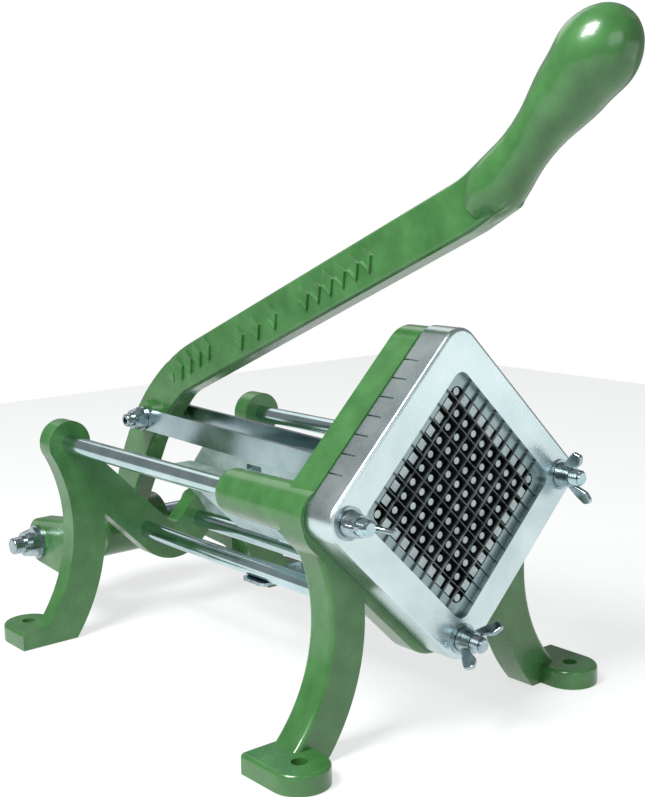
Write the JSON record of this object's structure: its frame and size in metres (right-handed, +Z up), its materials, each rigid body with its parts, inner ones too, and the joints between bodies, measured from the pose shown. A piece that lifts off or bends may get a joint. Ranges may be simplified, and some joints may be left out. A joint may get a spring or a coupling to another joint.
{
  "type": "vegetable dicer",
  "caption": "Lever-operated potato and vegetable dicer: cast frames, guide rods, a pegged pusher and a diamond-set grid of blades.",
  "frame": {"origin": "on the counter, at the middle of the four foot holes", "axes": "+Z up, -Y towards the blade head, X across; the lever swings in the YZ plane"},
  "size_m": [0.248, 0.4953, 0.3882],
  "materials": {
    "green_enamel": "gloss",
    "cast_aluminium": "satin",
    "rod_chrome": "polished",
    "link_steel": "satin",
    "blade_steel": "satin",
    "zinc": "satin"
  },
  "bodies": {
    "frame": {"front_frame": "green_enamel", "rear_frame": "green_enamel", "upper_rod_left": "rod_chrome", "upper_rod_right": "rod_chrome", "lower_rod_left": "rod_chrome", "lower_rod_right": "rod_chrome", "low_stud": "zinc", "rear_washers": "zinc", "rear_nuts": "zinc", "rod_tie": "zinc", "tie_screws": "zinc", "pivot_bolt": "zinc", "pivot_washers": "zinc", "pivot_nut": "zinc", "pivot_spacer_left": "zinc", "pivot_spacer_right": "zinc"},
    "blade_head": {"blade_cover": "cast_aluminium", "blades_across": "blade_steel", "blades_upright": "blade_steel", "head_washers": "zinc"},
    "wing_nut_a": {"wing_nut_left": "zinc"},
    "wing_nut_b": {"wing_nut_right": "zinc"},
    "wing_nut_c": {"wing_nut_low": "zinc"},
    "pusher": {"pusher_block": "cast_aluminium", "carriage": "cast_aluminium", "block_screws": "zinc"},
    "lever": {"lever": "green_enamel", "crank_bolt": "zinc", "crank_washers": "zinc", "crank_nut": "zinc"},
    "links": {"link_left": "link_steel", "link_right": "link_steel", "cross_pin": "zinc"}
  },
  "joints": [
    {"name": "lever_swing", "type": "hinge", "parent": "frame", "child": "lever", "pos_m": [0, 0.197, 0.053], "axis": [-1, 0, 0], "range_deg": [0, 66.4]},
    {"name": "pusher_slide", "type": "slide", "parent": "frame", "child": "pusher", "axis": [0, 1, 0], "range_m": [0, 0.1186]},
    {"name": "link_swing", "type": "hinge", "parent": "lever", "child": "links", "pos_m": [0, 0.14, 0.1445], "axis": [1, 0, 0], "range_deg": [0, 66.1]},
    {"name": "blade_head_off", "type": "slide", "parent": "frame", "child": "blade_head", "axis": [0, -1, 0], "range_m": [0, 0.03]},
    {"name": "wing_turn_left", "type": "hinge", "parent": "blade_head", "child": "wing_nut_a", "pos_m": [-0.0812, -0.17, 0.137], "axis": [0, -1, 0], "continuous": true},
    {"name": "wing_turn_right", "type": "hinge", "parent": "blade_head", "child": "wing_nut_b", "pos_m": [0.0812, -0.17, 0.137], "axis": [0, -1, 0], "continuous": true},
    {"name": "wing_turn_low", "type": "hinge", "parent": "blade_head", "child": "wing_nut_c", "pos_m": [0, -0.17, 0.056], "axis": [0, -1, 0], "continuous": true}
  ],
  "couplings": [
    {"joint": "pusher_slide", "follows": "lever_swing", "m_per_rad": 0.1018},
    {"joint": "link_swing", "follows": "lever_swing", "ratio": 0.99024}
  ]
}
